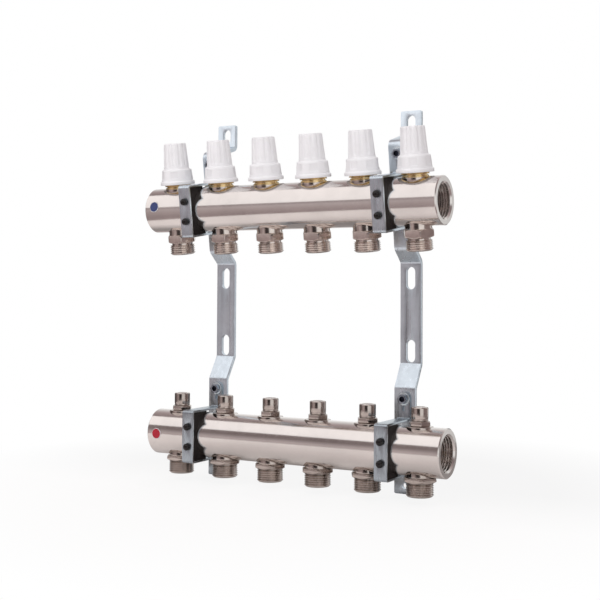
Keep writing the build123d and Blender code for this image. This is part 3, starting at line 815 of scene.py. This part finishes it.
class MANIFOLD_OT_hand_caps(bpy.types.Operator):
    """Six white hand caps with a flange, a recessed skirt and a fluted grip"""

    bl_idname = "manifold.hand_caps"
    bl_label = "Hand caps"

    cap_foot = 25.0
    turn_step = 23.0
    points = 192
    flute_radius = 2.2
    recess_count = 6
    recess_floor = 14.0
    recess_half_width = 3.5
    grip_foot = (15.9, 12.1)
    grip_top = (38.8, 10.6)
    room = ((16.6, 3.0), (37.9, 3.0), (37.9, 8.7), (16.8, 8.7), (14.8, 13.0), (0.0, 13.0))

    def flute(self, angle, radius):
        """How far a flute cuts in at an angle"""
        pitch = tau / sizes().flutes
        offset = (angle + pitch / 2) % pitch - pitch / 2
        along = abs(radius * sin(offset))
        lift = self.flute_radius - sizes().flute_depth / MM
        if along >= sqrt(self.flute_radius**2 - lift**2):
            return 0.0
        return sqrt(self.flute_radius**2 - along**2) - lift

    def recess(self, angle, radius):
        """How far a recess cuts in at an angle"""
        pitch = tau / self.recess_count
        offset = angle % pitch - pitch / 2
        if abs(radius * sin(offset)) >= self.recess_half_width:
            return 0.0
        return max(0.0, radius - self.recess_floor / cos(offset))

    def outline(self):
        """Heights, radii, and the share of the flutes and recesses there, from the flange up"""
        flange = [(0.0, 16.2), (0.12, 16.42), (0.35, 16.5), (2.5, 16.5), (2.85, 16.38)]
        flange += [(3.55, 15.65), (3.68, 15.3)]
        skirt = [(3.75, 15.2), (5.95, 14.98), (6.05, 14.97), (12.5, 14.34), (12.6, 14.33)]
        skirt += [(13.9, 14.2)]
        shoulder = [(14.3, 14.05), (14.75, 13.55), (14.9, 13.2), (15.35, 12.5), (15.9, 12.1)]
        grip = [(17.4, 0.0), (17.8, 0.25), (18.2, 0.6), (18.7, 0.85), (19.4, 1.0), (38.2, 1.0)]
        crown = [(38.9, 10.55, 1.0), (39.35, 10.35, 0.95), (39.65, 10.0, 0.8), (39.8, 9.45, 0.4)]
        crown += [(39.8, 8.6, 0.0), (39.55, 8.3, 0.0)]
        foot, top = self.grip_foot, self.grip_top
        taper = (foot[1] - top[1]) / (top[0] - foot[0])
        rows = [(height, radius, 0.0, 0) for height, radius in flange]
        rows += [(height, radius, 0.0, int(6.0 < height < 12.55)) for height, radius in skirt]
        rows += [(height, radius, 0.0, 0) for height, radius in shoulder]
        rows += [(height, foot[1] - (height - foot[0]) * taper, share, 0) for height, share in grip]
        return rows + [(height, radius, share, 0) for height, radius, share in crown]

    def execute(self, context):
        for number, place in enumerate(CIRCUITS, 1):
            mesh = bmesh.new()
            rings = []
            inside = [(height, radius, 0.0, 0) for height, radius in self.room]
            for height, radius, flutes, recesses in inside + self.outline():
                def follow(angle):
                    cut = self.flute(angle, radius) * flutes + self.recess(angle, radius) * recesses
                    return radius - cut
                rings.append(ring(mesh, self.points, follow, lambda angle: height))
            skinned(mesh, rings)
            turned = Matrix.Rotation(radians(self.turn_step * number), 4, "Z")
            lifted = Matrix.Translation((0.0, 0.0, self.cap_foot * MM))
            stand = bar_matrix("upper", place) @ lifted @ turned
            piece(
                mesh, f"cap_{number}", ["cap plastic"], stand, body=f"cap_body_{number}",
                stands_for=[f"hand_cap_{number}"],
            )
        return {"FINISHED"}


class MANIFOLD_OT_lockshields(bpy.types.Operator):
    """Six lockshield valves with their screwed caps, on the lower bar"""

    bl_idname = "manifold.lockshields"
    bl_label = "Lockshield valves"

    key_hole = 4.0
    neck = 6.0
    flats = 17.0
    flats_top = 26.3
    foot = 21.7
    cap_foot = 26.35
    cap_side = 7.4

    def execute(self, context):
        for number, place in enumerate(CIRCUITS, 1):
            mesh = bmesh.new()
            profile = [(self.key_hole, 9.0), (SPIGOT_RADIUS - 1.0, 9.0), (SPIGOT_RADIUS, 10.0)]
            profile += [(SPIGOT_RADIUS, COLLAR_LEVEL), (COLLAR_RADIUS, COLLAR_LEVEL)]
            profile += [(COLLAR_RADIUS, self.foot - 0.4), (COLLAR_RADIUS - 0.4, self.foot)]
            profile += [(self.neck, self.foot), (self.neck, 33.4)]
            profile += [(self.neck - 0.5, 33.9), (self.key_hole, 33.9)]
            spun(mesh, profile)
            hexagon(mesh, self.flats, self.foot, self.flats_top)
            rounded(mesh, sizes().edge_round)
            piece(
                mesh, f"lockshield_{number}", ["lower nickel with painted shade"], bar_matrix("lower", place),
                stands_for=[f"lockshield_body_{number}"],
            )
            mesh = bmesh.new()
            side, groove = self.cap_side, self.cap_side - 0.25
            profile = [(self.neck, self.cap_foot), (side - 0.5, self.cap_foot), (side, 26.8)]
            profile += [(side, 27.5), (groove, 27.7), (groove, 28.0), (side, 28.2), (side, 37.5)]
            profile += [(6.7, 38.3), (4.6, 38.3), (4.4, 38.0), (0.0, 38.0)]
            spun(mesh, profile)
            spun(mesh, [(0.0, 37.1), (self.neck, 37.1), (self.neck, self.cap_foot)])
            bmesh.ops.remove_doubles(mesh, verts=mesh.verts, dist=MERGE)
            bmesh.ops.recalc_face_normals(mesh, faces=mesh.faces)
            rounded(mesh, sizes().edge_round)
            piece(
                mesh, f"lock_cap_{number}", ["lower nickel with painted shade"], bar_matrix("lower", place),
                stands_for=[f"lockshield_cap_{number}"],
            )
        dress("regulating_spindles", "brass")
        return {"FINISHED"}


class MANIFOLD_OT_holders(bpy.types.Operator):
    """Brackets, straps, liners and clamp fasteners"""

    bl_idname = "manifold.holders"
    bl_label = "Brackets and straps"

    strap_face = 26.6
    head_seat = 21.0
    screw_level = 41.95
    head_flats = 8.0
    head_height = 3.5
    head_round = 0.12
    socket = ((2.7, 3.5), (2.45, 3.2), (2.4, 1.2))
    painted_shade_above = 0.5
    shank_radius = 2.5
    shank_length = 12.2
    shank_chamfer = 0.5
    nub_radius = 3.3
    nub_straight = 1.7
    nub_length = 4.4
    nub_height = 9.3
    dome_points = 7

    def execute(self, context):
        for side in ("left", "right"):
            name = f"wall_bracket_{side}"
            self.rounded_copy(f"bracket_{side}", name, "bracket zinc", "bracket_steel")
            for bar in ("upper", "lower"):
                name = f"clamp_{bar}_{side}"
                # the lower straps take the darker zinc copy, which is painted shade
                self.rounded_copy(f"strap_{bar}_{side}", name, f"{bar} zinc", "zinc_steel")
                self.liner(bar, side)
        self.screws()
        # the washers and nuts take the brighter zinc copy, which is painted light
        self.rounded_copy("clamp_washers", "tab_washers", "loose zinc with painted light", "zinc_steel")
        self.rounded_copy("clamp_nuts", "tab_nuts", "loose zinc with painted light", "zinc_steel")
        return {"FINISHED"}

    def screws(self):
        """Four screws with a socket in their heads"""
        mesh = bmesh.new()
        wide, slim = self.shank_radius, self.shank_radius - self.shank_chamfer
        end, shoulder = -self.shank_length, self.shank_chamfer - self.shank_length
        shank = [(0.0, end), (slim, end), (wide, shoulder), (wide, 0.0), (0.0, 0.0)]
        for bar in ("upper", "lower"):
            for side in ("left", "right"):
                one = bmesh.new()
                hexagon(one, self.head_flats, 0.0, self.head_height, self.socket)
                rounded(one, self.head_round * MM)
                # painted shade: the faces inside the socket take the near-black finish
                for face in one.faces:
                    spot = face.calc_center_median() / MM
                    inside = spot.to_2d().length < wide
                    face.material_index = int(inside and spot.z > self.painted_shade_above)
                spun(one, shank, steps=32)
                one.transform(
                    bar_matrix(bar, middle(f"strap_{bar}_{side}").x)
                    @ Matrix.Translation((0.0, self.head_seat * MM, self.screw_level * MM))
                    @ Matrix.Rotation(radians(90), 4, "X")
                )
                added(mesh, one)
        piece(
            mesh, "tab_screws", ["screw zinc", "socket painted shade"],
            stands_for=["clamp_screws"],
        )

    def rounded_copy(self, node, name, finish, slot):
        mesh = cad_copy(node)
        rounded(mesh, sizes().sheet_round, segments=3, sharper=50.0)
        piece(mesh, name, [finish], stands_for=[node])

    def liner(self, bar, side):
        """The liner's block, with round, shiny nub heads in front of the strap"""
        node = f"liner_{bar}_{side}"
        mesh = cad_copy(node)
        place = bar_matrix(bar, middle(node).x)
        mesh.transform(place.inverted())
        cut = bmesh.ops.bisect_plane(
            mesh, geom=mesh.verts[:] + mesh.edges[:] + mesh.faces[:], dist=1.0e-7,
            plane_co=(0.0, -self.strap_face * MM, 0.0), plane_no=(0.0, -1.0, 0.0), clear_outer=True,
        )
        rim = [part for part in cut["geom_cut"] if isinstance(part, bmesh.types.BMEdge)]
        bmesh.ops.holes_fill(mesh, edges=rim, sides=0)
        bmesh.ops.recalc_face_normals(mesh, faces=mesh.faces)
        wide, straight = self.nub_radius, self.nub_straight
        profile = [(0.0, -0.2), (wide - 0.3, -0.2), (wide, 0.1), (wide, straight)]
        for step in range(1, self.dome_points):
            turn = pi / 2 * step / self.dome_points
            profile.append((cos(turn) * wide, straight + sin(turn) * (self.nub_length - straight)))
        for height in (-self.nub_height, self.nub_height):
            head = bmesh.new()
            spun(head, profile + [(0.0, self.nub_length)], steps=40, material=1)
            forward = Matrix.Translation((0.0, -self.strap_face * MM, height * MM))
            head.transform(forward @ Matrix.Rotation(radians(90), 4, "X"))
            added(mesh, head)
        piece(
            mesh, f"pad_{bar}_{side}", ["liner rubber", "nub rubber"], place,
            stands_for=[node],
        )


class MANIFOLD_OT_markers(bpy.types.Operator):
    """A blue and a red marker disc with pale rims"""

    bl_idname = "manifold.markers"
    bl_label = "Marker discs"

    rim = 5.0
    face = 4.65
    depth = 1.8
    dish = 0.12

    def execute(self, context):
        floor = self.depth - self.dish
        profile = [(0.0, 0.0), (self.rim, 0.0), (self.rim, self.depth - 0.3)]
        profile += [(self.rim - 0.05, self.depth - 0.1), (self.rim - 0.15, self.depth)]
        profile += [(self.face, self.depth), (self.face - 0.1, floor), (0.0, floor)]
        for bar, finish in (("upper", "blue"), ("lower", "red")):
            node = f"{finish}_marker"
            mesh = bmesh.new()
            spun(mesh, profile, steps=64)
            for face in mesh.faces:
                reach = face.calc_center_median().to_2d().length
                face.material_index = int(reach > (self.face - 0.05) * MM)
            piece(
                mesh, f"{finish}_disc", [finish, "marker rim"], marker_seat(bar, node),
                stands_for=[node],
            )
        return {"FINISHED"}


# The stage

class MANIFOLD_OT_stage(bpy.types.Operator):
    """A pale floor, soft studio light and the camera"""

    bl_idname = "manifold.stage"
    bl_label = "Stage"

    floor_radius = 0.45
    floor_drop = 2 * MM
    floor_tones = ((0.90, 0.87, 0.86, 1.0), (0.86, 0.83, 0.82, 1.0))
    floor_shade = (-0.10, 0.05, 1.0, 0.42)
    floor_fade = (0.6, 0.97)
    floor_glow = 0.88
    box_places = ((-0.524, 0.22), (-0.135, 0.88))
    box_centre = -0.25
    box_width = 1.7
    box_level = 0.82
    lamp_size = 1.2
    lamps = (
        ("left fill", (-0.9, -1.3, 0.5), 9.0),
        ("right fill", (1.3, -0.9, 0.5), 7.0),
        ("rear fill", (-0.3, 1.4, 0.9), 7.0),
    )
    white = (1.0, 1.0, 1.0, 1.0)
    backdrop_way = (-0.49, 0.87, 0.04)
    backdrop_reach = (20, 11)
    level_reach = (0.20, 0.45)
    away_reach = (0.08, 0.25)
    warm_share = 0.19
    warm_from = 0.8
    warm_range = 0.45
    rise_levels = (
        (-180, 1.0), (-165, 0.9), (-143, 0.40), (-100, 0.36), (-34, 0.32), (-12, 0.42), (0, 0.50),
        (18, 0.20), (88, 0.26), (100, 0.34), (115, 0.42), (130, 0.60), (145, 0.80), (172, 1.0),
    )
    side_levels = (
        (-180, 0.08), (-114, 0.09), (-68, 0.12), (-60, 0.33), (-15, 0.35), (-8, 0.05), (22, 0.05),
        (32, 0.90), (70, 0.90), (76, 0.28), (138, 0.28), (146, 0.90), (156, 0.90), (164, 0.08),
    )
    camera_place = Vector((506.8, -929.6, 29.8)) * MM
    camera_yaw = radians(29.427)
    camera_pitch = radians(2.119)
    camera_roll = radians(0.294)
    focal_pixels = 1109.5
    centre_row = 250.0
    picture = 600.0
    sensor = 36.0

    def execute(self, context):
        scene = context.scene
        scene.view_settings.view_transform = "Standard"
        self.camera(scene)
        self.floor(scene)
        self.world(scene)
        self.softbox(scene)
        for name, place, power in self.lamps:
            self.lamp(scene, name, place, power)
        return {"FINISHED"}

    def softbox(self, scene):
        """A long bright panel above and in front, which the bars mirror as their upper band"""
        (front, low), (back, high) = self.box_places
        data = bpy.data.lights.new("softbox", "AREA")
        data.shape = "RECTANGLE"
        data.size = self.box_width
        data.size_y = sqrt((back - front) ** 2 + (high - low) ** 2)
        data.energy = self.box_level * pi * data.size * data.size_y
        made = bpy.data.objects.new("softbox", data)
        made.location = (self.box_centre, (front + back) / 2, (low + high) / 2)
        made.rotation_euler = (atan2(high - low, back - front), 0.0, 0.0)
        made.visible_camera = False
        scene.collection.objects.link(made)

    def camera(self, scene):
        """A camera that sees what the photograph's did"""
        data = bpy.data.cameras.new("camera")
        data.sensor_width = self.sensor
        data.lens = self.focal_pixels / self.picture * self.sensor
        data.shift_y = -(self.picture / 2 - self.centre_row) / self.picture
        ahead = Vector((
            -sin(self.camera_yaw) * cos(self.camera_pitch),
            cos(self.camera_yaw) * cos(self.camera_pitch),
            sin(self.camera_pitch),
        ))
        right = Vector((cos(self.camera_yaw), sin(self.camera_yaw), 0.0))
        above = right.cross(ahead)
        level = Matrix((right, above, -ahead)).transposed().to_4x4()
        roll = Matrix.Rotation(self.camera_roll, 4, "Z")
        made = bpy.data.objects.new("camera", data)
        made.matrix_world = Matrix.Translation(self.camera_place) @ level @ roll
        scene.collection.objects.link(made)
        scene.camera = made

    def lamp(self, scene, name, place, power):
        """A soft round lamp that shines at the origin and isn't mirrored"""
        data = bpy.data.lights.new(name, "AREA")
        data.shape = "DISK"
        data.size = self.lamp_size
        data.energy = power
        made = bpy.data.objects.new(name, data)
        made.location = place
        made.rotation_euler = (-Vector(place)).to_track_quat("-Z", "Y").to_euler()
        made.visible_glossy = False
        scene.collection.objects.link(made)

    def floor(self, scene):
        """A pale round floor with painted shade behind the object, which the camera sees fade to
        white
        """
        mesh = bmesh.new()
        bmesh.ops.create_circle(mesh, cap_ends=True, radius=self.floor_radius, segments=96)
        level = cad_size[0][2] - self.floor_drop
        bmesh.ops.translate(mesh, verts=mesh.verts, vec=(0.0, 0.0, level))
        data = bpy.data.meshes.new("floor")
        mesh.to_mesh(data)
        mesh.free()
        made = bpy.data.objects.new("floor", data)
        scene.collection.objects.link(made)
        finish = Finish("floor paint", Roughness=0.9)
        tree, nodes = finish.tree, finish.nodes
        clouds = finish.clouds(*self.floor_tones, 6.0)
        depth = nodes.new("ShaderNodeSeparateXYZ")
        put(tree, depth.inputs["Vector"], finish.places)
        # painted shade: the floor's colour darkens from front to back, behind the object
        shading = spread(tree, depth.outputs["Y"], *self.floor_shade)
        tone = blended(tree, 1.0, clouds.outputs["Colour"], shading, "MULTIPLY")
        put(tree, finish.surface.inputs["Base Color"], tone)
        distance = nodes.new("ShaderNodeVectorMath")
        distance.operation = "LENGTH"
        put(tree, distance.inputs["Vector"], finish.places)
        inner, outer = (share * self.floor_radius for share in self.floor_fade)
        rim = spread(tree, distance.outputs["Value"], inner, outer, self.floor_glow)
        seen = nodes.new("ShaderNodeLightPath").outputs["Is Camera Ray"]
        mix = nodes.new("ShaderNodeMixShader")
        put(tree, mix.inputs["Fac"], reckoned(tree, "MULTIPLY", seen, rim))
        put(tree, mix.inputs[1], finish.surface.outputs["BSDF"])
        put(tree, mix.inputs[2], nodes.new("ShaderNodeEmission").outputs["Emission"])
        put(tree, nodes["Material Output"].inputs["Surface"], mix.outputs["Shader"])
        data.materials.append(finish.material)

    def around(self, tree, split, first):
        """The angle round an axis, from 0 to 1, of a direction's first part over its way forward"""
        forward = reckoned(tree, "MULTIPLY", split.outputs["Y"], -1.0)
        return spread(tree, reckoned(tree, "ARCTAN2", split.outputs[first], forward), -pi, pi)

    def levels(self, tree, angle, stops):
        """A ramp over an angle in degrees; its dark tones are warm, as those of a lit room are"""
        ramp = tree.nodes.new("ShaderNodeValToRGB")
        line = ramp.color_ramp
        while len(line.elements) < len(stops):
            line.elements.new(0.5)
        for element, (place, level) in zip(line.elements, stops):
            dark = max(0.0, min(1.0, (self.warm_from - level) / self.warm_range))
            warmth = self.warm_share * dark
            element.position = (place + 180) / 360
            element.color = (level, level * (1.0 - warmth), level * (1.0 - warmth), 1.0)
        put(tree, ramp.inputs["Fac"], angle)
        return ramp.outputs["Color"]

    def gap(self, tree, split, axis, centre):
        """How far a direction's part lies from a centre"""
        return reckoned(tree, "ABSOLUTE", reckoned(tree, "SUBTRACT", split.outputs[axis], centre))

    def world(self, scene):
        """A studio whose panels and walls the metal mirrors, and white behind the object"""
        world = bpy.data.worlds.new("studio")
        world.use_nodes = True
        scene.world = world
        tree = world.node_tree
        nodes = tree.nodes
        ways = nodes.new("ShaderNodeTexCoord").outputs["Generated"]
        split = nodes.new("ShaderNodeSeparateXYZ")
        put(tree, split.inputs["Vector"], ways)
        rise = self.levels(tree, self.around(tree, split, "Z"), self.rise_levels)
        side = self.levels(tree, self.around(tree, split, "X"), self.side_levels)
        level = spread(tree, self.gap(tree, split, "Z", 0.0), *self.level_reach, 1.0, 0.0)
        away = spread(tree, self.gap(tree, split, "X", self.backdrop_way[0]), *self.away_reach)
        room = blended(tree, reckoned(tree, "MULTIPLY", level, away), rise, side)
        path = nodes.new("ShaderNodeLightPath").outputs
        mirrored = reckoned(tree, "MAXIMUM", path["Is Glossy Ray"], path["Is Transmission Ray"])
        near = nodes.new("ShaderNodeVectorMath")
        near.operation = "DOT_PRODUCT"
        put(tree, near.inputs[0], ways)
        put(tree, near.inputs[1], self.backdrop_way)
        outer, inner = (cos(radians(angle)) for angle in self.backdrop_reach)
        behind = spread(tree, near.outputs["Value"], outer, inner)
        shown = reckoned(tree, "MULTIPLY", mirrored, behind)
        seen = reckoned(tree, "MAXIMUM", path["Is Camera Ray"], shown)
        put(tree, nodes["Background"].inputs["Color"], blended(tree, seen, room, self.white))


PIECES = (
    MANIFOLD_OT_bars,
    MANIFOLD_OT_outlets,
    MANIFOLD_OT_inserts,
    MANIFOLD_OT_hand_caps,
    MANIFOLD_OT_lockshields,
    MANIFOLD_OT_holders,
    MANIFOLD_OT_markers,
    MANIFOLD_OT_stage,
)


class MANIFOLD_PT_panel(bpy.types.Panel):
    """The manifold's pieces, sizes and colours"""

    bl_label = "Distribution manifold"
    bl_idname = "MANIFOLD_PT_panel"
    bl_space_type = "VIEW_3D"
    bl_region_type = "UI"
    bl_category = "Manifold"

    def draw(self, context):
        for operator in PIECES:
            self.layout.operator(operator.bl_idname)
        for group in (context.scene.manifold_sizes, context.scene.manifold_colours):
            for name in group.__annotations__:
                self.layout.prop(group, name)


CLASSES = (ManifoldSizes, ManifoldColours, *PIECES, MANIFOLD_PT_panel)


def register():
    for kind in CLASSES:
        bpy.utils.register_class(kind)
    bpy.types.Scene.manifold_sizes = PointerProperty(type=ManifoldSizes)
    bpy.types.Scene.manifold_colours = PointerProperty(type=ManifoldColours)


def unregister():
    del bpy.types.Scene.manifold_colours
    del bpy.types.Scene.manifold_sizes
    for kind in reversed(CLASSES):
        bpy.utils.unregister_class(kind)


def main():
    register()
    bpy.ops.manifold.bars()
    bpy.ops.manifold.outlets()
    bpy.ops.manifold.inserts()
    bpy.ops.manifold.hand_caps()
    bpy.ops.manifold.lockshields()
    bpy.ops.manifold.holders()
    bpy.ops.manifold.markers()
    bpy.ops.manifold.stage()


if __name__ == "__main__":
    main()
